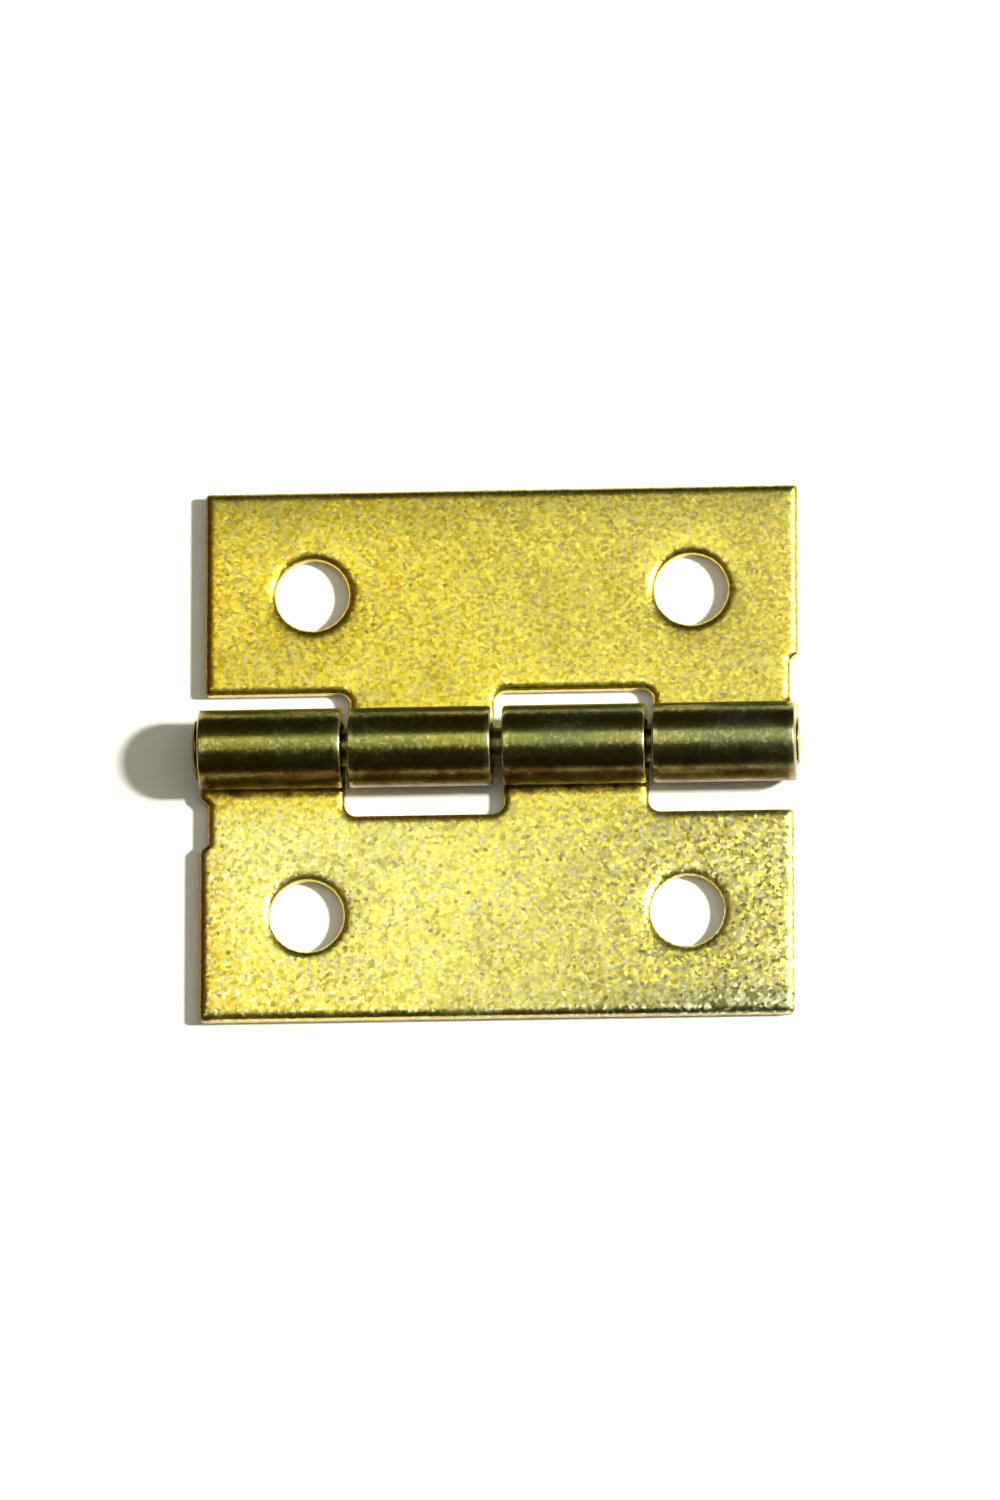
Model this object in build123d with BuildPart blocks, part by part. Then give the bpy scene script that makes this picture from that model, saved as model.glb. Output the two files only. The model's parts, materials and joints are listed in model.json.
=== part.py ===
from build123d import *
from math import asin, degrees
import os

# Light butt hinge, open flat: two identical stamped leaves, each with two curled
# knuckles, turning on one headed pin. Millimetres.
#
# +X runs along the pin, +Y from the frame leaf to the door leaf, and +Z out of the
# front of the hinge. Z = 0 is the plane that both leaves are screwed down to, and the
# origin is on it, under the middle of the row of knuckles.

os.makedirs("parts", exist_ok=True)

# --- Driving dimensions ------------------------------------------------------------

leaf_length = 25.0          # along the pin
leaf_reach = 11.5           # from the pin's axis to a leaf's free edge
sheet_thickness = 0.85      # brass-plated steel strip

pin_diameter = 1.6
running_clearance = 0.03    # radial, between the pin and a curl
head_diameter = 2.5
head_height = 0.28
head_rim = 0.10             # straight part of the head's edge
tail_diameter = 2.0         # the spun-over end
tail_height = 0.09
tail_rim = 0.04             # straight part of the spun end's edge
end_play = 0.04             # between the spun-over end and the last knuckle

outer_gap = 0.2             # between the first two knuckles, and between the last two
middle_gap = 0.4            # between the two middle knuckles
leaf_stagger = 0.1          # each leaf sits this far off the middle, to its own side

hole_spacing = 16.0
hole_row = 7.0              # from the pin's axis to the holes
hole_radius = 1.55

notch_clearance = 1.0       # between a leaf's notched edge and the other leaf's curl
notch_corner_radius = 0.5
relief_depth = 0.33         # shallow cut in the leaf's end beside its outer knuckle
relief_length = 2.25
relief_setback = 0.17       # from the side of the barrel to the cut
relief_slope = 0.3          # length along the leaf's end of each slanting end of the cut
corner_radius = 0.3
die_roll = 0.2              # soft front edge that the blanking die leaves
seam_gap = 0.08             # between the tip of a curl and the leaf's front face

# --- Derived sizes -----------------------------------------------------------------

knuckle_count = 4
gap_total = 2 * outer_gap + middle_gap
row_length = leaf_length + 2 * leaf_stagger
knuckle_width = (row_length - gap_total) / knuckle_count
notch_width = knuckle_width + outer_gap + middle_gap

row_start = -row_length / 2
row_end = row_length / 2
leaf_end = row_start + leaf_length
leaf_centre = row_start + leaf_length / 2
knuckle_starts = (row_start, row_start + knuckle_width + notch_width)
notch_start = row_start + knuckle_width
end_notch_start = knuckle_starts[1] + knuckle_width

pin_radius = pin_diameter / 2
head_radius = head_diameter / 2
tail_radius = tail_diameter / 2
tail_start = row_end + end_play

bore_radius = pin_radius + running_clearance
barrel_radius = bore_radius + sheet_thickness
notch_edge = barrel_radius + notch_clearance
relief_near = barrel_radius + relief_setback
relief_far = relief_near + relief_length

# The curl starts under the pin and goes round the far side and over the top. It stops
# where its outer corner is seam_gap above the leaf's front face.
curl_start_angle = -90
tip_rise = sheet_thickness + seam_gap
tip_angle = degrees(asin(1 - tip_rise / barrel_radius))
curl_sweep = 180 + tip_angle - curl_start_angle

# The plane through the pin's axis that holds its outline, +X along the pin
pin_plane = Plane(origin=(0, 0, barrel_radius), x_dir=(1, 0, 0), z_dir=(0, -1, 0))

pick_margin = 0.01          # half width of the band that an edge or corner is picked from


# --- Frame leaf: one piece of strip, blanked, then curled twice ----------------------

with BuildPart() as frame_leaf:

    # The flat part of the blank, up to the line under the pin where the curls start
    with BuildSketch(Plane.XY) as blank:
        with Locations((leaf_centre, 0)):
            Rectangle(leaf_length, leaf_reach, align=(Align.CENTER, Align.MAX))
        with Locations((notch_start, 0)):
            Rectangle(notch_width, notch_edge, align=(Align.MIN, Align.MAX), mode=Mode.SUBTRACT)
        with Locations((end_notch_start, 0)):
            Rectangle(
                leaf_end - end_notch_start,
                notch_edge,
                align=(Align.MIN, Align.MAX),
                mode=Mode.SUBTRACT,
            )

        # The three inside corners, beside the knuckles
        notch_row = blank.vertices().filter_by_position(
            Axis.Y, -notch_edge - pick_margin, -notch_edge + pick_margin
        )
        outside_corner = notch_row.sort_by(Axis.X)[-1]
        fillet(notch_row.sort_by(Axis.X)[:-1], notch_corner_radius)

        # The three outside corners: one beside the end notch, two on the free edge
        free_corners = blank.vertices().group_by(Axis.Y)[0]
        fillet([outside_corner, *free_corners], corner_radius)

        # The shallow cut beside the outer knuckle
        with BuildLine():
            Polyline(
                (row_start, -relief_far),
                (row_start + relief_depth, -relief_far + relief_slope),
                (row_start + relief_depth, -relief_near - relief_slope),
                (row_start, -relief_near),
                close=True,
            )
        make_face(mode=Mode.SUBTRACT)

        # Screw holes
        with Locations((leaf_centre, -hole_row)):
            with GridLocations(hole_spacing, 0, 2, 1):
                Circle(hole_radius, mode=Mode.SUBTRACT)
    extrude(amount=sheet_thickness)

    # The blanking die rounds every front edge, the holes' rims included
    front = frame_leaf.faces().sort_by(Axis.Z)[-1]
    curl_line = front.edges().filter_by_position(Axis.Y, -pick_margin, pick_margin)
    fillet([edge for edge in front.edges() if edge not in curl_line], die_roll)

    # The two curls
    for start in knuckle_starts:
        with BuildSketch(Plane.YZ.offset(start)):
            with BuildLine():
                outside = CenterArc(
                    (0, barrel_radius), barrel_radius, curl_start_angle, curl_sweep
                )
                inside = CenterArc(
                    (0, barrel_radius), bore_radius, curl_start_angle, curl_sweep
                )
                Line(outside @ 0, inside @ 0)
                Line(outside @ 1, inside @ 1)
            make_face()
        extrude(amount=knuckle_width)

frame_leaf.part.label = "frame_leaf"
export_step(frame_leaf.part, "parts/frame_leaf.step")


# --- Door leaf: the same stamping, turned half round --------------------------------

with BuildPart() as door_leaf:
    add(frame_leaf.part, rotation=(0, 0, 180))

door_leaf.part.label = "door_leaf"
export_step(door_leaf.part, "parts/door_leaf.step")


# --- Hinge pin: headed at one end, spun over at the other ---------------------------

with BuildPart() as hinge_pin:

    # Half of the pin's outline, from its own axis outwards, turned once round that axis
    with BuildSketch(pin_plane):
        with BuildLine():
            crown = TangentArc(
                (row_start - head_height, 0),
                (row_start - head_rim, head_radius),
                tangent=(0, 1),
            )
            spun_end = TangentArc(
                (tail_start + tail_height, 0),
                (tail_start + tail_rim, tail_radius),
                tangent=(0, 1),
            )
            Polyline(
                crown @ 1,
                (row_start, head_radius),
                (row_start, pin_radius),
                (tail_start, pin_radius),
                (tail_start, tail_radius),
                spun_end @ 1,
            )
            Line(spun_end @ 0, crown @ 0)
        make_face()
    revolve(axis=Axis(pin_plane.origin, pin_plane.x_dir))

hinge_pin.part.label = "hinge_pin"
export_step(hinge_pin.part, "parts/hinge_pin.step")
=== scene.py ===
# %% [markdown]
# # A small butt hinge, lying open flat
#
# The hinge is two leaves of brass-plated steel strip that turn on one headed pin.
# A press cuts each leaf flat, punches its two screw holes, and then rolls its two tabs
# round a mandrel to make the knuckles.
#
# This lesson makes the leaves in the same order as the press does: first a flat blank
# with real cut edges, then a Geometry Nodes tree that rolls the tabs and sets the finish.
# The pin is turned from its outline. The last cells put each piece on its body and light
# the scene.

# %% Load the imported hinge
import json
import math
from types import SimpleNamespace

import bmesh
import bpy
import numpy as np
from mathutils import Matrix, Vector, noise
from mathutils.geometry import delaunay_2d_cdt
from mathutils.kdtree import KDTree


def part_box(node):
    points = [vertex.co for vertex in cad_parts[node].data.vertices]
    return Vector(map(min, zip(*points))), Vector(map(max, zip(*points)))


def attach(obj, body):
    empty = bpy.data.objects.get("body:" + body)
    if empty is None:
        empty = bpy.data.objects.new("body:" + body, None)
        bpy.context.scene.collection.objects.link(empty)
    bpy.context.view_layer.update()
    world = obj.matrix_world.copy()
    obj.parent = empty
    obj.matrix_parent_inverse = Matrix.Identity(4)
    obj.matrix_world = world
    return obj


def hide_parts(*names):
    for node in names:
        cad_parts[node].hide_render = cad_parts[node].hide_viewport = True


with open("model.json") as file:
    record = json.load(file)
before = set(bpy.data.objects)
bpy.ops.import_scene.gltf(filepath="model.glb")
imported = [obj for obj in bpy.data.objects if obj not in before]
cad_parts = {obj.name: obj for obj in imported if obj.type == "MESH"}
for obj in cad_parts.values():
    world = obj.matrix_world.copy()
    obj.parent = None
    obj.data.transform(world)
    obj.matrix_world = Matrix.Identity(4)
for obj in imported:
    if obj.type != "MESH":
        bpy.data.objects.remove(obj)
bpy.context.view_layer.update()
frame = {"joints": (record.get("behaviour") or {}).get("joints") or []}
MM = 0.001

# %% [markdown]
# ## Sizes
#
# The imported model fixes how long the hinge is, how far its leaves reach and where its
# pin lies. The sheet's thickness and the gaps between knuckles can't be read off a box,
# so they are named here. All of them are in millimetres until a mesh is made.

# %% Read the main sizes from the frame
leaf_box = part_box("frame_leaf")
door_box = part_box("door_leaf")
pin_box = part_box("hinge_pin")

LEAF_START = leaf_box[0][0] / MM
LEAF_END = leaf_box[1][0] / MM
LEAF_REACH = -leaf_box[0][1] / MM
ROW_END = door_box[1][0] / MM
PIN_START = pin_box[0][0] / MM
PIN_END = pin_box[1][0] / MM
BARREL_RADIUS = frame["joints"][0]["pos_m"][2] / MM

SHEET = 0.85
SEAM_GAP = 0.08
OUTER_GAP = 0.2
MIDDLE_GAP = 0.4
NOTCH_CLEARANCE = 1.0
RELIEF_DEPTH = 0.33
RELIEF_LENGTH = 2.25
RELIEF_SETBACK = 0.17
RELIEF_SLOPE = 0.3
HOLE_SPACING = 16.0
HOLE_ROW = 7.0
HOLE_RADIUS = 1.55

ROW_LENGTH = ROW_END - LEAF_START
KNUCKLE = (ROW_LENGTH - 2 * OUTER_GAP - MIDDLE_GAP) / 4
NOTCH_EDGE = BARREL_RADIUS + NOTCH_CLEARANCE
print(f"knuckle {KNUCKLE:.2f} mm wide, barrel radius {BARREL_RADIUS:.2f} mm")

# %% [markdown]
# ## The blank's outline
#
# The tabs stick out past the line under the pin, y = 0, as far as they are long before
# rolling. Strip keeps its length half way through its thickness when it is rolled, so
# the tab is that middle radius times the angle that the curl turns through.
#
# The outline is only its corners, each with the radius of the punch there. One function
# walks round it and can step inwards by any amount, which is how the cut edge gets its
# rows of points later. An outside corner's radius shrinks on the way in and an inside
# corner's radius grows, as in a real offset.

# %% Lay out the corners of the blank
MIDDLE_RADIUS = BARREL_RADIUS - SHEET / 2
TIP_ANGLE = math.asin(1 - (SHEET + SEAM_GAP) / BARREL_RADIUS)
CURL_TURN = math.radians(270) + TIP_ANGLE
TAB = MIDDLE_RADIUS * CURL_TURN

PUNCH_CORNER = 0.16
NOTCH_CORNER = 0.5
TIP_CORNER = 0.12
RELIEF_CORNER = 0.12


def blank_corners():
    """(x, y, radius) of each corner, anticlockwise from the free edge's left end."""
    tab_one = (LEAF_START, LEAF_START + KNUCKLE)
    notch_end = tab_one[1] + KNUCKLE + OUTER_GAP + MIDDLE_GAP
    tab_two = (notch_end, notch_end + KNUCKLE)
    relief_near = -BARREL_RADIUS - RELIEF_SETBACK
    relief_far = relief_near - RELIEF_LENGTH
    relief_floor = LEAF_START + RELIEF_DEPTH
    return [
        (LEAF_START, -LEAF_REACH, PUNCH_CORNER),
        (LEAF_END, -LEAF_REACH, PUNCH_CORNER),
        (LEAF_END, -NOTCH_EDGE, PUNCH_CORNER),
        (tab_two[1], -NOTCH_EDGE, NOTCH_CORNER),
        (tab_two[1], TAB, TIP_CORNER),
        (tab_two[0], TAB, TIP_CORNER),
        (tab_two[0], -NOTCH_EDGE, NOTCH_CORNER),
        (tab_one[1], -NOTCH_EDGE, NOTCH_CORNER),
        (tab_one[1], TAB, TIP_CORNER),
        (tab_one[0], TAB, TIP_CORNER),
        (LEAF_START, relief_near, RELIEF_CORNER),
        (relief_floor, relief_near - RELIEF_SLOPE, RELIEF_CORNER),
        (relief_floor, relief_far + RELIEF_SLOPE, RELIEF_CORNER),
        (LEAF_START, relief_far, RELIEF_CORNER),
    ]


print(f"tab {TAB:.2f} mm long, rolled through {math.degrees(CURL_TURN):.0f} degrees")

# %% Walk round an outline at any distance inside it
EDGE_STEP = 0.12


def left_of(direction):
    """The direction a quarter turn to the left, which points into the metal."""
    return Vector((-direction.y, direction.x))


def corner_arcs(corners, inset):
    """For each corner: its arc's centre, radius and side, the normal at its start, its turn."""
    arcs = []
    places = [Vector((x, y)) for x, y, _ in corners]
    for index, (x, y, radius) in enumerate(corners):
        here = places[index]
        way_in = (here - places[index - 1]).normalized()
        way_out = (places[(index + 1) % len(places)] - here).normalized()
        turn = math.atan2(way_in.cross(way_out), way_in.dot(way_out))
        inward = left_of(way_in) + left_of(way_out)
        moved = here + inward * (inset / (1 + left_of(way_in).dot(left_of(way_out))))
        side = 1 if turn > 0 else -1
        kept = max(radius - side * inset, 0.0)
        centre = moved - way_in * kept * math.tan(abs(turn) / 2) + left_of(way_in) * side * kept
        arcs.append((centre, kept, side, left_of(way_in), turn))
    return arcs


def arc_point(arc, share):
    """The point that far round a corner's arc, from 0 to 1."""
    centre, radius, side, normal, turn = arc
    angle = turn * share
    turned = Vector((
        normal.x * math.cos(angle) - normal.y * math.sin(angle),
        normal.x * math.sin(angle) + normal.y * math.cos(angle),
    ))
    return centre - turned * side * radius


def outline_ring(corners, inset, deepest):
    """Points round the outline, inset into the metal. Every inset gives as many points."""
    plan = corner_arcs(corners, 0.0)
    arcs = corner_arcs(corners, inset)
    points = []
    for index, arc in enumerate(arcs):
        _, radius, side, _, turn = plan[index]
        widest = radius if side > 0 else radius + deepest
        steps = max(3, math.ceil(abs(turn) * widest / EDGE_STEP))
        points += [arc_point(arc, step / steps) for step in range(steps + 1)]
        following = (index + 1) % len(arcs)
        straight = arc_point(plan[following], 0) - arc_point(plan[index], 1)
        pieces = max(1, math.ceil(straight.length / EDGE_STEP))
        start, end = arc_point(arc, 1), arc_point(arcs[following], 0)
        points += [start.lerp(end, piece / pieces) for piece in range(1, pieces)]
    return np.array([(p.x, p.y) for p in points])


def hole_ring(centre, inset, _deepest):
    """Points round a screw hole, clockwise, so that the metal is on the left here too."""
    steps = math.ceil(math.tau * HOLE_RADIUS / EDGE_STEP)
    angles = -np.arange(steps) * math.tau / steps
    reach = HOLE_RADIUS + inset
    return np.column_stack((centre[0] + reach * np.cos(angles), centre[1] + reach * np.sin(angles)))


BLANK = blank_corners()
print("corners of the blank", len(BLANK))

# %% [markdown]
# ## A cut edge
#
# A press leaves four bands on a cut edge, and they are what makes sheet metal look like
# sheet metal close up. The punch first pulls the front face down into a soft die roll.
# It then shears a smooth burnished band, and the lower part tears away as a rough
# fracture that leans in a little. Plating rounds the last sharp corner at the back.
#
# EDGE_ROWS walks down through those bands. Each row says how far inside the outline it
# is and how high above the back, and then, from 0 to 1, how torn, how rolled and how worn
# the metal is there. The last three are kept with the mesh for the finish to read. Every
# outline of the blank, the holes' included, is swept with the same rows.

# %% Describe the cut edge
ROLL_WIDTH = 0.40
ROLL_LEAD_IN = 0.04
ROLL_DEPTH = 0.25
FACE_INSET = 0.52
ROLL_STEPS = 7


def edge_rows():
    """Rows of (inset, height, torn, rolled, worn) from the front face to the back face."""
    rows = [(inset, SHEET, 0.0, 0.0, 0.0) for inset in (FACE_INSET, ROLL_WIDTH + ROLL_LEAD_IN)]
    for step in range(ROLL_STEPS + 1):
        angle = math.radians(90) * step / ROLL_STEPS
        inset = ROLL_WIDTH * (1 - math.sin(angle))
        height = SHEET - ROLL_DEPTH * (1 - math.cos(angle))
        rows.append((inset, height, 0.0, math.sin(angle), 0.0))
    for inset, height, torn, worn in (
        (0.0, 0.56, 0.5, 0.0),
        (0.002, 0.50, 0.7, 0.0),
        (0.014, 0.44, 1.0, 0.0),
        (0.024, 0.33, 1.0, 0.0),
        (0.030, 0.21, 1.0, 0.0),
        (0.034, 0.12, 0.8, 0.0),
        (0.046, 0.055, 0.2, 0.3),
        (0.078, 0.016, 0.0, 1.0),
        (0.135, 0.0, 0.0, 0.6),
        (ROLL_WIDTH, 0.0, 0.0, 0.0),
        (FACE_INSET, 0.0, 0.0, 0.0),
    ):
        rows.append((inset, height, torn, 0.0, worn))
    return rows


EDGE_ROWS = edge_rows()
print("rows down the cut edge", len(EDGE_ROWS))

# %% [markdown]
# ## The blank's mesh
#
# Each outline becomes a band of quads, one row of points for each row of the cut edge.
# The two faces between the bands are filled with a grid, and a Delaunay triangulation
# stitches the grid to the innermost rows. Rows run straight across the tabs and lie
# close together there, because those rows become the facets of the rolled knuckle.
#
# Rolled strip isn't dead flat, so the front face sinks in long waves of a hundredth of a
# millimetre. It also droops a little towards every cut edge, and dishes more round a
# punched hole, because the punch drags the metal along with it. Those soft slopes are
# what catches the light beside an edge. A tree of points along the outline finds how near
# the edge is.
#
# Two things are kept on every point of the mesh: the marks of its row, and strip_place,
# which is where it was on the flat strip. The finish uses strip_place to tell the curls
# from the plate after they are rolled.

# %% Build the flat blank
PLATE_GRID = 0.30
PLATE_ROOM = 0.55
TAB_ROOM = 0.8
FILL_PRECISION = 1e-7
TORN_DEPTH = 0.022
TEARS_ALONG = 5
TEARS_DOWN = 9
WAVE_DEPTH = 0.012
WAVE_LENGTH = 7.0
WAVE_SLICE = 0.7
DISH_DEPTH = 0.10
DISH_REACH = 0.5
DROOP_DEPTH = 0.05
DROOP_REACH = 0.45
SAG_FLOOR = 0.4
SAME_PLACE = 1e-7
SLIVER = 1e-8


def hole_centres():
    """The two screw holes of the blank, centred on the leaf's length."""
    middle = (LEAF_START + LEAF_END) / 2
    return [(middle - HOLE_SPACING / 2, -HOLE_ROW), (middle + HOLE_SPACING / 2, -HOLE_ROW)]


def grid_points(rim):
    """Points inside the blank's faces, none crowding the points of the rim."""
    across = np.arange(LEAF_START, LEAF_END, PLATE_GRID)
    plate = np.array([(x, y) for x in across for y in np.arange(-LEAF_REACH, 0, PLATE_GRID)])
    tabs = np.array([(x, y) for x in across for y in np.arange(EDGE_STEP / 2, TAB, EDGE_STEP)])
    kept = []
    for cloud, room in ((plate, PLATE_GRID * PLATE_ROOM), (tabs, EDGE_STEP * TAB_ROOM)):
        gaps = np.linalg.norm(cloud[:, None, :] - rim[None, :, :], axis=2).min(axis=1)
        kept.append(cloud[gaps > room])
    return np.vstack(kept)


def inside(points, ring):
    """Whether each point is inside the closed ring, by counting crossings."""
    x, y = points[:, 0][:, None], points[:, 1][:, None]
    ax, ay = ring[:, 0][None, :], ring[:, 1][None, :]
    bx, by = np.roll(ring[:, 0], -1)[None, :], np.roll(ring[:, 1], -1)[None, :]
    spans = (ay > y) != (by > y)
    safe = np.where(by == ay, 1.0, by - ay)
    return (spans & (x < (bx - ax) * (y - ay) / safe + ax)).sum(axis=1) % 2 == 1


def fill_face(rings):
    """Triangles between the outer ring and the holes, as indices into rings then grid."""
    rim = np.vstack(rings)
    cloud = grid_points(rim)
    cloud = cloud[inside(cloud, rings[0])]
    for ring in rings[1:]:
        cloud = cloud[~inside(cloud, ring)]
    edges, first = [], 0
    for ring in rings:
        count = len(ring)
        edges += [(first + i, first + (i + 1) % count) for i in range(count)]
        first += count
    spots = [Vector(p) for p in np.vstack((rim, cloud)).tolist()]
    _, _, faces, sources, _, _ = delaunay_2d_cdt(spots, edges, [], 0, FILL_PRECISION)
    triangles = []
    for face in faces:
        corners = [sources[v][0] for v in face]
        middle = np.array([sum(spots[c][k] for c in corners) / 3 for k in (0, 1)])[None, :]
        if inside(middle, rings[0])[0] and not any(inside(middle, r)[0] for r in rings[1:]):
            triangles.append(corners)
    return cloud, triangles


def edge_finder():
    """A tree of points along the blank's outline, to look up how near a place is to it."""
    ring = outline_ring(BLANK, 0.0, FACE_INSET)
    tree = KDTree(len(ring))
    for index, (x, y) in enumerate(ring):
        tree.insert((x, y, 0.0), index)
    tree.balance()
    return tree


EDGE_TREE = edge_finder()


def front_sag(x, y):
    """How far the front face sinks at a place, in millimetres."""
    wave = 0.5 + 0.5 * noise.noise(Vector((x / WAVE_LENGTH, y / WAVE_LENGTH, WAVE_SLICE)))
    from_edge = EDGE_TREE.find((x, y, 0.0))[2]
    dish = DROOP_DEPTH / DISH_DEPTH * math.exp(-from_edge / DROOP_REACH)
    for hole in hole_centres():
        away = math.dist((x, y), hole) - HOLE_RADIUS
        dish += math.exp(-max(away, 0.0) / DISH_REACH)
    return WAVE_DEPTH * wave + DISH_DEPTH * dish


def build_blank(name):
    """The flat leaf as a mesh in metres, front face up, with torn and rolled bands marked."""
    walks = [(outline_ring, BLANK)] + [(hole_ring, centre) for centre in hole_centres()]
    places, faces = [], []
    marks = {"torn": [], "rolled": [], "worn": []}
    front_ids, back_ids, inner_rings = [], [], []
    for walk, shape in walks:
        inner = walk(shape, FACE_INSET, FACE_INSET)
        edge = walk(shape, 0.0, FACE_INSET)
        outward = edge - inner
        outward /= np.linalg.norm(outward, axis=1)[:, None]
        count = len(inner)
        first = len(places)
        for inset, height, tear, roll, wear in EDGE_ROWS:
            ring = walk(shape, inset, FACE_INSET)
            for index, (x, y) in enumerate(ring):
                spot = Vector((x * TEARS_ALONG, y * TEARS_ALONG, height * TEARS_DOWN))
                bite = noise.noise(spot) * 0.5 + 0.5
                x, y = np.array((x, y)) - outward[index] * bite * tear * TORN_DEPTH
                sag = front_sag(x, y) * max(0.0, (height - SAG_FLOOR) / (SHEET - SAG_FLOOR))
                places.append((x, y, height - sag))
            for title, value in (("torn", tear), ("rolled", roll), ("worn", wear)):
                marks[title] += [value] * count
        for row in range(len(EDGE_ROWS) - 1):
            for index in range(count):
                following = (index + 1) % count
                upper, lower = first + row * count, first + (row + 1) * count
                faces.append((upper + index, lower + index, lower + following, upper + following))
        front_ids += range(first, first + count)
        back_ids += range(first + (len(EDGE_ROWS) - 1) * count, first + len(EDGE_ROWS) * count)
        inner_rings.append(inner)
    cloud, triangles = fill_face(inner_rings)
    for ids, height in ((front_ids, SHEET), (back_ids, 0.0)):
        start = len(places)
        for x, y in cloud:
            sag = front_sag(x, y) if height else 0.0
            places.append((x, y, height - sag))
        for values in marks.values():
            values += [0.0] * len(cloud)
        lookup = ids + list(range(start, start + len(cloud)))
        for corners in triangles:
            loop = [lookup[c] for c in corners]
            faces.append(loop if height else loop[::-1])
    mesh = bpy.data.meshes.new(name)
    mesh.from_pydata((np.array(places) * MM).tolist(), [], faces)
    for title, values in marks.items():
        mesh.attributes.new(title, "FLOAT", "POINT").data.foreach_set("value", values)
    strip = mesh.attributes.new("strip_place", "FLOAT_VECTOR", "POINT")
    strip.data.foreach_set("vector", (np.array(places) * MM).ravel())
    tidy = bmesh.new()
    tidy.from_mesh(mesh)
    bmesh.ops.remove_doubles(tidy, verts=tidy.verts, dist=SAME_PLACE)
    bmesh.ops.dissolve_degenerate(tidy, edges=tidy.edges, dist=SLIVER)
    tidy.to_mesh(mesh)
    tidy.free()
    mesh.shade_smooth()
    return mesh


blank = build_blank("leaf_blank")
print("blank", len(blank.vertices), "points", len(blank.polygons), "faces")

# %% [markdown]
# ## Maths on wires
#
# The next steps need node trees, first for the rolling and then for the finishes. A
# Math node for every plus sign is hard to read, so one small class wraps a socket and
# lets Python's own operators add those nodes. Every other node comes from one method.

# %% Write node trees as expressions
class Bench:
    """A node tree being built."""

    def __init__(self, tree):
        self.tree = tree

    def node(self, kind, settings=None, inputs=None, out=0):
        """Adds a node: its settings first, then its sockets. Returns one output as a Wire."""
        made = self.tree.nodes.new(kind)
        for name, value in (settings or {}).items():
            setattr(made, name, value)
        for key, value in (inputs or {}).items():
            socket = pick_socket(made.inputs, key)
            if isinstance(value, Wire):
                self.tree.links.new(value.socket, socket)
            else:
                socket.default_value = value
        if not len(made.outputs):
            return made
        return Wire(self, pick_socket(made.outputs, out))

    def smooth(self, value, low, high):
        """0 below low, 1 above high, with a smooth step between."""
        settings = {"interpolation_type": "SMOOTHSTEP"}
        inputs = {0: value, 1: low, 2: high, 3: 0.0, 4: 1.0}
        return self.node("ShaderNodeMapRange", settings, inputs)

    def blend(self, share, first, second):
        """A colour between two colours."""
        settings = {"data_type": "RGBA"}
        inputs = {"Factor_Float": share, "A_Color": first, "B_Color": second}
        return self.node("ShaderNodeMix", settings, inputs, out="Result_Color")


class Wire:
    """An output socket that can be added, subtracted, multiplied, divided and raised."""

    def __init__(self, bench, socket):
        self.bench = bench
        self.socket = socket

    def maths(self, operation, first, second=0.0):
        return self.bench.node("ShaderNodeMath", {"operation": operation}, {0: first, 1: second})

    def __add__(self, other):
        return self.maths("ADD", self, other)

    def __radd__(self, other):
        return self.maths("ADD", other, self)

    def __sub__(self, other):
        return self.maths("SUBTRACT", self, other)

    def __rsub__(self, other):
        return self.maths("SUBTRACT", other, self)

    def __mul__(self, other):
        return self.maths("MULTIPLY", self, other)

    def __rmul__(self, other):
        return self.maths("MULTIPLY", other, self)

    def __truediv__(self, other):
        return self.maths("DIVIDE", self, other)

    def __pow__(self, other):
        return self.maths("POWER", self, other)


def pick_socket(sockets, key):
    """A socket by its number, identifier or name."""
    if isinstance(key, int):
        return sockets[key]
    for socket in sockets:
        if key in (socket.identifier, socket.name):
            return socket
    raise KeyError(key)


# %% [markdown]
# ## Rolling the tabs
#
# On the press the tabs are pushed into a curved die until they close round a mandrel.
# The rule is simple. A point that is s past the line under the pin, and h above the
# back face, ends up s / middle radius round the pin and h inside the barrel's surface.
# Before that line nothing moves. A Set Position node does exactly that to every point
# of the blank, so both leaves come from one mesh and one tree. The second leaf is the
# same stamping turned half round.

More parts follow.
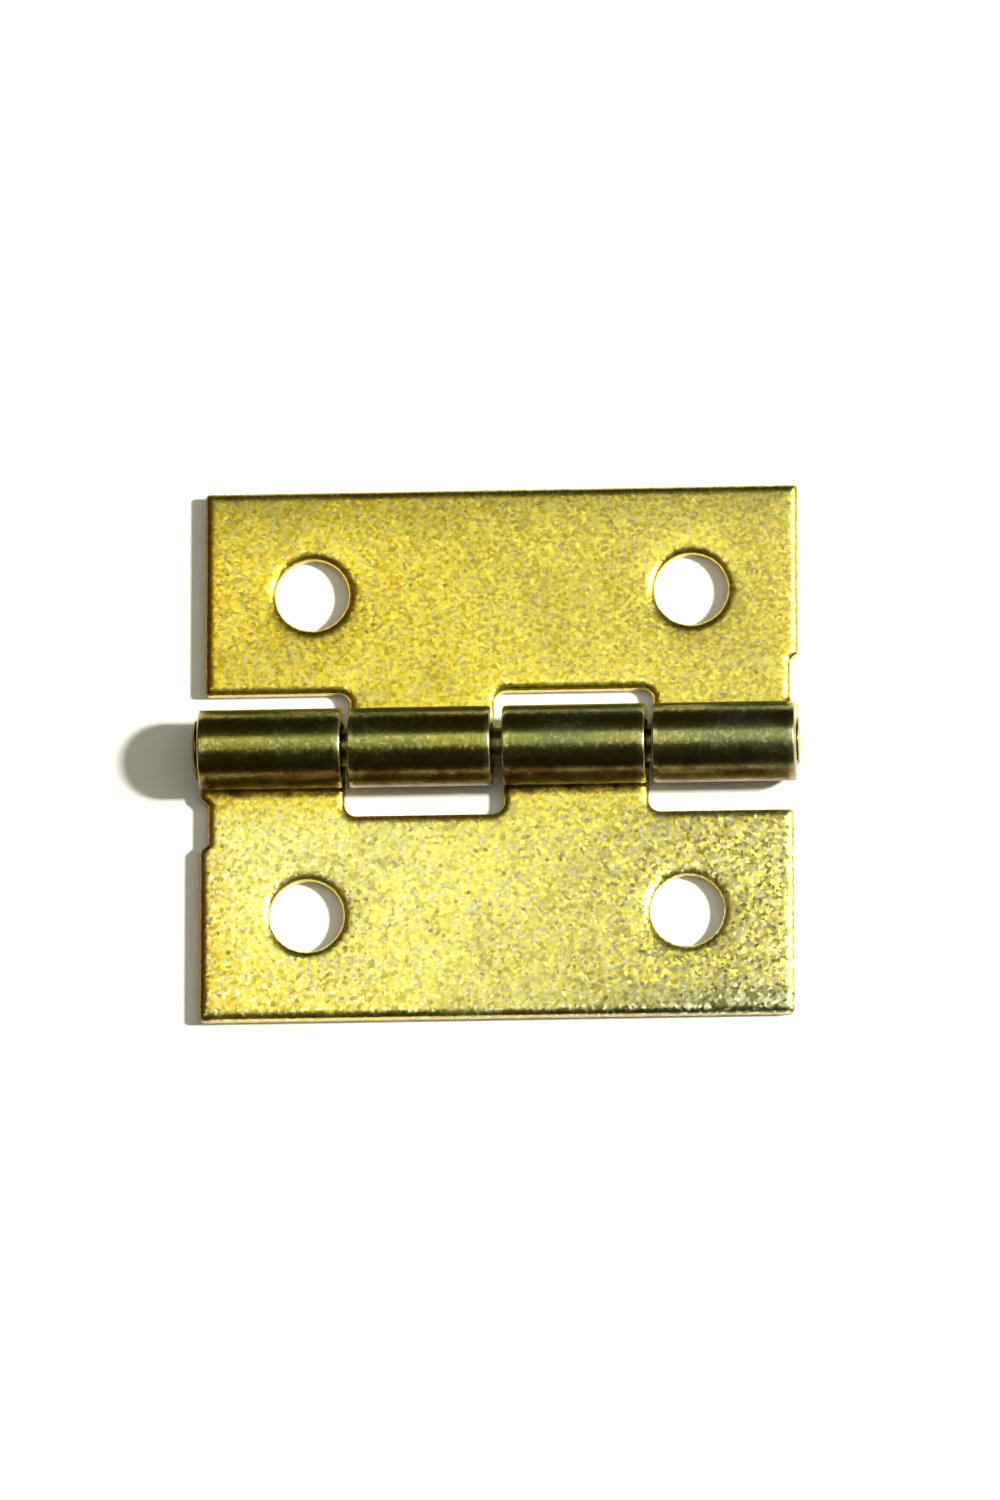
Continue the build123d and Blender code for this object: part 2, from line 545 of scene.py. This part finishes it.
# %% Build the rolling tree
def rolling_tree():
    """Geometry Nodes: blank in, rolled and turned leaf out, with its plating set."""
    tree = bpy.data.node_groups.new("roll_knuckles", "GeometryNodeTree")
    sockets = {}
    for name, kind in (
        ("Blank", "NodeSocketGeometry"),
        ("Barrel Radius", "NodeSocketFloat"),
        ("Sheet Thickness", "NodeSocketFloat"),
        ("Half Turns", "NodeSocketFloat"),
        ("Plating", "NodeSocketMaterial"),
    ):
        socket = tree.interface.new_socket(name=name, in_out="INPUT", socket_type=kind)
        sockets[name] = socket.identifier
    tree.interface.new_socket(name="Leaf", in_out="OUTPUT", socket_type="NodeSocketGeometry")

    bench = Bench(tree)
    given = tree.nodes.new("NodeGroupInput")
    blank_in, barrel, sheet, half_turns, plating = (Wire(bench, given.outputs[i]) for i in range(5))
    place = bench.node("GeometryNodeInputPosition")
    x, y, h = (bench.node("ShaderNodeSeparateXYZ", None, {0: place}, out=i) for i in range(3))
    past_line = y.maths("MAXIMUM", y, 0.0)
    flat_part = y.maths("MINIMUM", y, 0.0)
    round_pin = past_line / (barrel - sheet * 0.5)
    from_pin = barrel - h
    rolled_y = flat_part + from_pin * y.maths("SINE", round_pin)
    rolled_h = barrel - from_pin * y.maths("COSINE", round_pin)
    target = bench.node("ShaderNodeCombineXYZ", None, {0: x, 1: rolled_y, 2: rolled_h})
    rolled = bench.node("GeometryNodeSetPosition", None, {"Geometry": blank_in, "Position": target})
    turn = bench.node("ShaderNodeCombineXYZ", None, {2: half_turns * math.pi})
    turned = bench.node("GeometryNodeTransform", None, {"Geometry": rolled, "Rotation": turn})
    real = bench.node("GeometryNodeRealizeInstances", None, {"Geometry": turned})
    plated = bench.node("GeometryNodeSetMaterial", None, {"Geometry": real, "Material": plating})
    tree.links.new(plated.socket, tree.nodes.new("NodeGroupOutput").inputs[0])
    return tree, sockets


ROLL_TREE, ROLL_SOCKETS = rolling_tree()
print("rolling tree", len(ROLL_TREE.nodes), "nodes")


def roll_leaf(name, half_turns, plating):
    """Rolls the blank with the tree and keeps the result as a plain mesh object."""
    flat = bpy.data.objects.new(name + "_flat", blank)
    bpy.context.scene.collection.objects.link(flat)
    roller = flat.modifiers.new("roll", "NODES")
    roller.node_group = ROLL_TREE
    roller[ROLL_SOCKETS["Barrel Radius"]] = BARREL_RADIUS * MM
    roller[ROLL_SOCKETS["Sheet Thickness"]] = SHEET * MM
    roller[ROLL_SOCKETS["Half Turns"]] = half_turns
    roller[ROLL_SOCKETS["Plating"]] = plating
    evaluated = flat.evaluated_get(bpy.context.evaluated_depsgraph_get())
    mesh = bpy.data.meshes.new_from_object(evaluated)
    mesh.name = name
    bpy.data.objects.remove(flat)
    leaf = bpy.data.objects.new(name, mesh)
    bpy.context.scene.collection.objects.link(leaf)
    leaf.data.shade_smooth()
    return leaf


# %% [markdown]
# ## Brass plate
#
# The strip is plated after stamping, so the metal is the same everywhere. What changes is
# its grain and how it has aged, and some light and shade is painted over the colour too.
# The grain comes from rolling and pickling the strip and is about a sixth of a millimetre
# across. Every grain leans its own way and a few are dark pits, while a few others are
# painted almost white as painted glints, and that makes the surface sparkle. A Voronoi
# texture suits it, because it gives one random colour to each cell: its three parts are
# used as three random numbers.

# %% Name the colours of brass
PALE_BRASS = (0.92, 0.77, 0.12, 1.0)
DEEP_BRASS = (0.70, 0.52, 0.018, 1.0)
PIT_BRASS = (0.42, 0.31, 0.010, 1.0)
WHITE_BRASS = (1.0, 0.96, 0.56, 1.0)
LEMON_BRASS = (0.91, 0.97, 0.25, 1.0)
AMBER_BRASS = (0.84, 0.52, 0.015, 1.0)
OLIVE_BRASS = (0.17, 0.17, 0.036, 1.0)
SAGE_BRASS = (0.14, 0.155, 0.050, 1.0)
DARK_BRONZE = (0.055, 0.045, 0.030, 1.0)
UMBER_SHADE = (0.10, 0.035, 0.010, 1.0)
TORN_STEEL = (0.82, 0.68, 0.46, 1.0)
print("colours from", PALE_BRASS[:3], "to", DARK_BRONZE[:3])


# %% Read textures and marks
def field(bench, place, size, detail, rough=0.5, shift=0.0):
    """Noise from 0 to 1 with lumps of that size, in millimetres."""
    aside = (shift, shift, shift)
    moved = bench.node("ShaderNodeVectorMath", {"operation": "ADD"}, {0: place, 1: aside})
    inputs = {"Vector": moved, "Scale": 1 / (size * MM), "Detail": detail, "Roughness": rough}
    return bench.node("ShaderNodeTexNoise", None, inputs, out="Fac")


def grains(bench, place, size):
    """A random colour for each grain of about that size, in millimetres."""
    inputs = {"Vector": place, "Scale": 1 / (size * MM)}
    return bench.node("ShaderNodeTexVoronoi", None, inputs, out="Color")


def vectors(bench, operation, first, second):
    """Vector maths on two vectors, or on a vector and a number for SCALE."""
    slot = "Scale" if operation == "SCALE" else 1
    return bench.node("ShaderNodeVectorMath", {"operation": operation}, {0: first, slot: second})


def part(bench, vector, index):
    """One of the three parts of a vector or of a colour."""
    return bench.node("ShaderNodeSeparateXYZ", None, {0: vector}, out=index)


def mark(bench, name, out="Fac"):
    """A value kept on the points of the mesh, 0 on a mesh that doesn't have it."""
    return bench.node("ShaderNodeAttribute", {"attribute_name": name}, None, out=out)


def reach(bench, distance, near, far):
    """A mask that grows from 0 to 1 between two distances in millimetres."""
    return bench.smooth(distance, near * MM, far * MM)


# %% [markdown]
# ### Where the plating changes, and where light and shade are painted
#
# Most marks depend on where a place is on the hinge, so they are masks made from its x and
# y. The left of the frame leaf gets a painted highlight, a lemon tint that fades so that
# the plate stays golden towards its corner. The right end of that leaf has a coarser,
# duller grain, and its colour is darker there, partly tarnished and partly painted shade.
# Both free edges get painted shade, and so does the crease between the knuckles and the
# frame leaf. The curls slid through the die, so they are burnished, darker, and streaked
# round the pin.
#
# The masks are collected under names, so that the colour, the gloss and the bump can all
# use the same ones. The pin has the same finish without the marks of the strip.

# %% Find the marks of making and of use
STREAK_WIDTH = 0.09
STREAK_STRETCH = (1.0, 0.05, 0.2)
MOTTLE_SIZE = 0.9
PATCH_SIZE = 4.0
CELL_SHARE = 0.8


def find_places(bench, place, found):
    """Adds the masks that depend only on where a place is on the hinge."""
    x, y = part(bench, place, 0), part(bench, place, 1)
    left, near = 0.0 - x, 0.0 - y
    found.right_half = reach(bench, x, -2.0, 3.0)
    found.rightward = reach(bench, x, -6.0, 13.0)
    found.spun_end = reach(bench, x, 12.5, 12.66)
    found.leftward = reach(bench, left, -6.0, 13.0)
    found.left_end = reach(bench, left, 11.2, 12.6)
    found.left_rim = reach(bench, left, 11.9, 12.3)
    found.off_left_end = 1.0 - reach(bench, left, 10.6, 12.4) * 0.85
    found.frame_side = reach(bench, near, 1.5, 4.0)
    # Where a painted highlight falls: the left of the frame leaf.
    found.clear = found.frame_side * reach(bench, left, -9.0, 12.0)
    found.golden = reach(bench, near, 3.0, 13.0) * reach(bench, left, -2.0, 12.0)
    # Coarser grain at the right end of the frame leaf, whose colour is also painted darker there as
    # shade.
    found.handled = found.frame_side * reach(bench, x, 1.0, 13.0)
    # Painted shade along the free edges of both leaves.
    found.frame_end = reach(bench, near, 9.6, 11.6) * reach(bench, x, -9.0, 15.0)
    found.door_end = reach(bench, y, 8.3, 12.2)
    # The crease between the knuckles and the frame leaf, where painted shade goes.
    found.corner = reach(bench, near, 0.85, 1.25) * reach(bench, y, -2.0, -1.75)


def surface_marks(bench, place, grain_size):
    """Every texture and mask that the finish uses, each from 0 to 1."""
    found = SimpleNamespace()
    found.torn, found.rolled, found.worn = (mark(bench, m) for m in ("torn", "rolled", "worn"))
    strip = mark(bench, "strip_place", "Vector")
    found.curled = reach(bench, part(bench, strip, 1), -0.2, 0.5)
    drawn_out = vectors(bench, "MULTIPLY", strip, STREAK_STRETCH)
    found.streaks = field(bench, drawn_out, STREAK_WIDTH, 2.0, 0.6)
    found.mottle = field(bench, place, MOTTLE_SIZE, 3.0, 0.55, shift=0.017)
    found.patches = field(bench, place, PATCH_SIZE, 3.0, 0.5, shift=0.043)
    found.grain = field(bench, place, grain_size, 1.5, 0.6)
    found.each = grains(bench, place, grain_size * CELL_SHARE)
    found.tone, found.glint, found.lift = (part(bench, found.each, index) for index in range(3))
    find_places(bench, place, found)
    found.stained = bench.smooth(found.patches + found.handled * 0.2, 0.42, 0.72)
    found.pits = bench.smooth(found.tone * 0.5 + found.grain * 0.5, 0.42, 0.30)
    return found


# %% [markdown]
# ### Colour
#
# The colour is built up in layers: clean grains first, then an amber tint towards the left
# and a painted highlight on the frame leaf, then pits, tarnished patches and painted shade,
# then painted glints and worn rims, and last the torn steel, painted shade in the crease by
# the knuckles and on the left edges, and the soil.

# %% Lay the colours over each other
def clean_colour(bench, found):
    """Brass plate: light and deep grains, tinted amber towards the left, with a painted highlight
    on the frame leaf.
    """
    sparkle = bench.smooth(found.grain * 0.55 + found.tone * 0.45, 0.28, 0.72)
    grained = bench.blend(sparkle, DEEP_BRASS, PALE_BRASS)
    amber = found.leftward * 0.3 + found.left_end * 0.5
    tinted = bench.blend(amber, grained, AMBER_BRASS)
    # Lemon tint on the frame leaf, strongest at its left: a painted highlight, kept golden near the
    # corner.
    painted_highlight = (found.frame_side * 0.2 + found.clear * 0.3) * found.off_left_end
    return bench.blend(painted_highlight * (1.0 - found.golden * 0.8), tinted, LEMON_BRASS)


def aged_colour(bench, found):
    """The clean colour with pits, tarnished patches, painted shade on the free edges and the right
    end, painted glints and worn rims.
    """
    clean = clean_colour(bench, found)
    pitted = bench.blend(found.pits * (0.35 + found.handled * 0.65), clean, PIT_BRASS)
    # Real stains and burnished curls dull the colour, and painted shade darkens both free edges and
    # the right end of the frame leaf.
    dulling_and_shade = found.stained * 0.24 + found.handled * 0.14
    dulling_and_shade = dulling_and_shade + found.frame_end * 1.05 + found.door_end * 0.38 + found.curled * 0.87
    tarnish_and_shade = bench.blend(found.right_half, OLIVE_BRASS, SAGE_BRASS)
    dulled_and_shaded = bench.blend(dulling_and_shade, pitted, tarnish_and_shade)
    # Near-white single grains are painted glints; worn back rims are real wear; the left of the
    # frame leaf gets a painted highlight; the right side whitens slightly.
    painted_glints = (found.glint ** 4.0) * (0.4 + found.frame_side * 0.5 + found.handled * 0.9)
    pale = painted_glints * (1.0 - found.curled * 0.5) + found.worn * 0.4
    pale = pale + found.clear * (1.0 - found.golden) * 0.14 + found.rightward * 0.08
    return bench.blend(pale, dulled_and_shaded, WHITE_BRASS)


def soiled_colour(bench, found, soiled):
    """The aged colour with torn edges, painted shade in the crease by the knuckles and on the left
    edges, and soil.
    """
    edged = bench.blend(found.torn * 0.85, aged_colour(bench, found), TORN_STEEL)
    # Painted shade: umber in the crease by the knuckles and on the steep part of the left edges.
    crease_shade = found.corner * (0.42 + bench.smooth(found.mottle, 0.4, 0.62) * 0.45)
    left_rim_shade = found.rolled * found.left_rim * 0.85
    with_painted_shade = bench.blend(crease_shade.maths("MAXIMUM", crease_shade, left_rim_shade), edged, UMBER_SHADE)
    return bench.blend(soiled * (1.0 - found.spun_end * 0.7), with_painted_shade, DARK_BRONZE)


# %% [markdown]
# ### Gloss and bump
#
# Bump takes its slopes from a height: the grain, the mottling, and on the curls the
# streaks. Each grain then leans by its own random amount, which is added to the normal as
# a vector. A last small lean is the same over wide areas, because the plates are very
# slightly bowed and so one leaf is brighter than the other.

# %% Set the gloss and the normal
def gloss(found, base_rough):
    """Roughness: duller where it is stained or on the coarse right end, smoother where a tool
    rubbed it.
    """
    rough = base_rough + (found.mottle - 0.5) * 0.12 + found.stained * 0.08 + found.handled * 0.06
    return rough - found.curled * 0.13 - found.torn * 0.05 - found.rolled * 0.14


def leaning_normal(bench, found, grain_height, facet_lean):
    """The normal with the grain's bump, each grain's own lean and the bow of the plates."""
    height = found.grain * (1.0 - found.curled * 0.6) + found.mottle * 0.5
    height = height + found.streaks * found.curled * 0.9
    bump_inputs = {"Strength": 1.0, "Distance": grain_height * MM, "Height": height}
    bumped = bench.node("ShaderNodeBump", None, bump_inputs)
    aside = vectors(bench, "SUBTRACT", found.each, (0.5, 0.5, 0.5))
    coarse = 0.65 + found.frame_side * 0.55 + found.handled * 1.3
    steep = facet_lean * (0.5 + found.lift ** 5.0) * coarse
    steep = steep * (1.0 - found.curled * 0.66) * (1.0 - found.rolled * 0.6)
    leaning = vectors(bench, "ADD", bumped, vectors(bench, "SCALE", aside, steep))
    bow = found.frame_side * 0.035 - found.clear * 0.105 - 0.026
    bowed = vectors(bench, "ADD", leaning, bench.node("ShaderNodeCombineXYZ", None, {1: bow}))
    return vectors(bench, "NORMALIZE", bowed, (0.0, 0.0, 0.0))


# %% Mix the plating
def plating(name, grain_size, grain_height, facet_lean, base_rough, soiled):
    """Brass plate over steel: sizes in millimetres, and soiled from 0 to 1."""
    material = bpy.data.materials.new(name)
    material.use_nodes = True
    material.node_tree.nodes.clear()
    bench = Bench(material.node_tree)
    place = bench.node("ShaderNodeTexCoord", None, None, out="Object")
    found = surface_marks(bench, place, grain_size)
    inputs = {
        "Base Color": soiled_colour(bench, found, soiled),
        "Metallic": 1.0,
        "Roughness": gloss(found, base_rough),
        "Normal": leaning_normal(bench, found, grain_height, facet_lean),
    }
    shader = bench.node("ShaderNodeBsdfPrincipled", None, inputs)
    bench.node("ShaderNodeOutputMaterial", None, {"Surface": shader})
    return material


LEAF_PLATING = plating(
    "leaf_plating",
    grain_size=0.18,
    grain_height=0.010,
    facet_lean=0.23,
    base_rough=0.36,
    soiled=0.0,
)
PIN_PLATING = plating(
    "pin_plating",
    grain_size=0.12,
    grain_height=0.010,
    facet_lean=0.20,
    base_rough=0.32,
    soiled=0.85,
)
print("finishes", LEAF_PLATING.name, PIN_PLATING.name)

# %% Roll both leaves
frame_leaf = roll_leaf("frame_leaf_stamping", 0.0, LEAF_PLATING)
door_leaf = roll_leaf("door_leaf_stamping", 1.0, LEAF_PLATING)
for leaf in (frame_leaf, door_leaf):
    print(leaf.name, "reaches", [round(c / MM, 3) for c in leaf.dimensions])

# %% [markdown]
# ## The pin
#
# The pin is a length of wire. A hammer tool upsets one end into a low head before the
# hinge is put together, and a spinning tool spreads the other end just enough to keep
# the pin in. It is turned from one outline of (along, radius) points, and the two ends
# then get the faint flats and dents that those tools leave.

# %% Turn the pin
PIN_RADIUS = 0.8
HEAD_RADIUS = 1.25
HEAD_SAG = 0.15
TAIL_RADIUS = 1.0
TAIL_RIM = 0.05
END_PLAY = 0.04
CROWN_STEPS = 9
SHANK_STEPS = 60
TURN_STEPS = 96
DENT = 0.02


def pin_outline():
    """(along, radius) points of the pin, from the head's middle to the spun end's."""
    seat = LEAF_START
    points = []
    # The head: a low dome, its rounded rim, and the seat against the first knuckle
    for step in range(CROWN_STEPS):
        radius = (HEAD_RADIUS - 0.05) * step / (CROWN_STEPS - 1)
        points.append((PIN_START + HEAD_SAG * (radius / HEAD_RADIUS) ** 2, radius))
    rim = points[-1][0]
    points += [(rim + 0.02, HEAD_RADIUS - 0.015), (rim + 0.05, HEAD_RADIUS)]
    points += [(seat - 0.04, HEAD_RADIUS), (seat - 0.01, HEAD_RADIUS - 0.02)]
    points += [(seat, HEAD_RADIUS - 0.06), (seat, PIN_RADIUS + 0.02), (seat + 0.02, PIN_RADIUS)]
    # The shank, and the spun end past the last knuckle
    tail = ROW_END + END_PLAY
    for along in np.linspace(seat + 0.3, tail - 0.05, SHANK_STEPS):
        points.append((along, PIN_RADIUS))
    points += [(tail, PIN_RADIUS + 0.01), (tail, TAIL_RADIUS - 0.03), (tail + 0.015, TAIL_RADIUS)]
    for step in range(CROWN_STEPS):
        radius = (TAIL_RADIUS - 0.02) * (1 - step / (CROWN_STEPS - 1))
        points.append((PIN_END - (PIN_END - tail - TAIL_RIM) * (radius / TAIL_RADIUS) ** 2, radius))
    return points


def turn_outline(name, outline, axis_height):
    """Turns an outline that starts and ends on the axis round it, closed at both poles."""
    mesh = bmesh.new()
    rings = []
    for along, radius in outline:
        if radius < 1e-6:
            rings.append([mesh.verts.new((along * MM, 0.0, axis_height * MM))])
            continue
        ring = []
        for step in range(TURN_STEPS):
            angle = math.tau * step / TURN_STEPS
            y, z = radius * math.cos(angle), radius * math.sin(angle)
            dent = 0.0
            if along < LEAF_START - 0.06 or along > ROW_END + END_PLAY + 0.02:
                dent = DENT * noise.noise(Vector((along, y * 2.2, z * 2.2)))
            inwards = max(dent, 0.0) * (1 if along < 0 else -1)
            ring.append(mesh.verts.new(((along + inwards) * MM, y * MM, (axis_height + z) * MM)))
        rings.append(ring)
    for before, after in zip(rings, rings[1:]):
        for step in range(TURN_STEPS):
            following = (step + 1) % TURN_STEPS
            corners = [before[step % len(before)], before[following % len(before)]]
            corners += [after[following % len(after)], after[step % len(after)]]
            mesh.faces.new(list(dict.fromkeys(corners)))
    bmesh.ops.recalc_face_normals(mesh, faces=mesh.faces)
    data = bpy.data.meshes.new(name)
    mesh.to_mesh(data)
    mesh.free()
    data.shade_smooth()
    piece = bpy.data.objects.new(name, data)
    bpy.context.scene.collection.objects.link(piece)
    return piece


pin = turn_outline("headed_pin", pin_outline(), BARREL_RADIUS)
pin.data.materials.append(PIN_PLATING)
print("pin", len(pin.data.vertices), "points")

# %% [markdown]
# ## Put the pieces on their bodies
#
# The pin stays with the frame leaf, and the door leaf turns round it. Each mesh stands
# for the CAD node that has its size.

# %% Ride and replace
for piece, body, node, slot in (
    (frame_leaf, "frame_side", "frame_leaf", "leaf_plating"),
    (pin, "frame_side", "hinge_pin", "pin_plating"),
    (door_leaf, "door_side", "door_leaf", "leaf_plating"),
):
    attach(piece, body)
    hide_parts(node)

# %% [markdown]
# ## Floor, light and camera
#
# Metal shows its surroundings, so the lights are part of the finish:
#
# - key: a small, strong lamp on the right, which throws the short crisp shadows
# - overhead: a long strip that the leaves mirror, and the one bright line on each knuckle
# - near: a tiny card close above the frame leaf, seen only in reflections
# - side: a card on the right that brightens the edges which face it
# - wall: a dim, warm wall on the left
# - fill: soft light on the floor and in the shadows, never seen in reflections
#
# The room round them is dark and a little warm, which gives the knuckles their dark bands.

# %% Lay the floor
FLOOR_SIZE = 3.0
FLOOR_DROP = 0.02 * MM
TABLE_PAINT = (0.90, 0.90, 0.87, 1.0)


def make_floor():
    half = FLOOR_SIZE / 2
    data = bpy.data.meshes.new("floor")
    corners = [(-half, -half), (half, -half), (half, half), (-half, half)]
    data.from_pydata([(x, y, -FLOOR_DROP) for x, y in corners], [], [(0, 1, 2, 3)])
    floor = bpy.data.objects.new("floor", data)
    bpy.context.scene.collection.objects.link(floor)
    paint = bpy.data.materials.new("pale_table")
    paint.use_nodes = True
    paint.node_tree.nodes.clear()
    bench = Bench(paint.node_tree)
    inputs = {"Base Color": TABLE_PAINT, "Roughness": 0.8}
    shader = bench.node("ShaderNodeBsdfPrincipled", None, inputs)
    bench.node("ShaderNodeOutputMaterial", None, {"Surface": shader})
    data.materials.append(paint)
    return floor


floor = make_floor()
print("floor", FLOOR_SIZE, "m square")

# %% Hang the lights
def hang_light(name, place, target, size, power, colour, mirrored=True, lights_floor=True):
    """A rectangular light at a place in metres, turned to face a target."""
    data = bpy.data.lights.new(name, "AREA")
    data.shape = "RECTANGLE"
    data.size, data.size_y = size
    data.energy = power
    data.color = colour
    light = bpy.data.objects.new(name, data)
    light.location = place
    facing = Vector(target) - Vector(place)
    light.rotation_euler = facing.to_track_quat("-Z", "Y").to_euler()
    light.visible_camera = False
    light.visible_glossy = mirrored
    light.visible_diffuse = lights_floor
    bpy.context.scene.collection.objects.link(light)
    return light


KEY_DISTANCE = 0.8
KEY_HEIGHT = math.radians(44)
KEY_PLACE = (KEY_DISTANCE * math.cos(KEY_HEIGHT), 0.0, KEY_DISTANCE * math.sin(KEY_HEIGHT))
CENTRE = (0.0, 0.0, 0.0)
OVERHEAD_SPOT = (0.25, -0.002)
NEAR_SPOT = (-0.0155, 0.013)

KEY_COLOUR = (1.0, 0.97, 0.90)
SKY_COLOUR = (0.97, 1.0, 0.84)
NEAR_COLOUR = (0.9, 1.0, 1.0)
WALL_COLOUR = (1.0, 0.50, 0.12)

hang_light("key", KEY_PLACE, CENTRE, size=(0.07, 0.07), power=9.5, colour=KEY_COLOUR)
hang_light(
    "overhead",
    (*OVERHEAD_SPOT, 0.6),
    (*OVERHEAD_SPOT, 0.0),
    size=(1.0, 0.37),
    power=1.50,
    colour=SKY_COLOUR,
)
hang_light(
    "near",
    (*NEAR_SPOT, 0.075),
    (*NEAR_SPOT, 0.0),
    size=(0.02, 0.02),
    power=0.0015,
    colour=NEAR_COLOUR,
    lights_floor=False,
)
hang_light(
    "side",
    (0.8, 0.0, 0.25),
    (0.0, 0.0, 0.1),
    size=(0.5, 0.5),
    power=0.5,
    colour=SKY_COLOUR,
    lights_floor=False,
)
hang_light("wall", (-0.45, 0.0, 0.35), CENTRE, size=(0.8, 0.6), power=0.15, colour=WALL_COLOUR)
hang_light(
    "fill", (0.0, 0.0, 0.9), CENTRE, size=(1.5, 1.5), power=0.7, colour=SKY_COLOUR, mirrored=False
)

# %% Darken the room
DARK_ROOM = (0.024, 0.019, 0.006, 1.0)
PALE_WALL = (0.9, 0.9, 0.88, 1.0)


def light_room():
    """A dark room for reflections, and a pale wall where the camera looks past the floor."""
    world = bpy.data.worlds.new("room")
    bpy.context.scene.world = world
    world.use_nodes = True
    world.node_tree.nodes.clear()
    bench = Bench(world.node_tree)
    seen = bench.node("ShaderNodeLightPath", None, None, out="Is Camera Ray")
    tone = bench.blend(seen, DARK_ROOM, PALE_WALL)
    shader = bench.node("ShaderNodeBackground", None, {"Color": tone, "Strength": 1.0})
    bench.node("ShaderNodeOutputWorld", None, {"Surface": shader})


light_room()

# %% [markdown]
# ## The camera
#
# A long lens from 0.8 m keeps the outline nearly free of perspective. The camera leans a
# little to the frame leaf's side, which shows the knuckles' lower flanks, and to the
# right, which shows a sliver of the cut edges there.

# %% Place the camera
CAMERA_DISTANCE = 0.8
CAMERA_LENS = 457.2
CAMERA_AIM = (0.0001, -0.0002, BARREL_RADIUS * MM)
LEAN_RIGHT = 0.062
LEAN_DOWN = 0.28


def place_camera():
    """Above the hinge, a little towards the frame leaf and to the right, level with the pin."""
    toward = Vector((LEAN_RIGHT, -LEAN_DOWN, 1.0)).normalized()
    right = Vector((0, 1, 0)).cross(toward).normalized()
    up = toward.cross(right)
    target = Vector(CAMERA_AIM)
    data = bpy.data.cameras.new("camera")
    data.lens = CAMERA_LENS
    data.clip_start = 0.01
    camera = bpy.data.objects.new("camera", data)
    bpy.context.scene.collection.objects.link(camera)
    turned = Matrix((right, up, toward)).transposed().to_4x4()
    camera.matrix_world = Matrix.Translation(target + toward * CAMERA_DISTANCE) @ turned
    bpy.context.scene.camera = camera
    return camera


camera = place_camera()
bpy.context.scene.view_settings.view_transform = "Standard"
print("camera", [round(c, 3) for c in camera.location])

# %% [markdown]
# ## Bring the scene up to date
#
# The finished pieces must stay inside the box of the imported model, and this cell
# only updates the view layer.

# %% Update the view layer
bpy.context.view_layer.update()
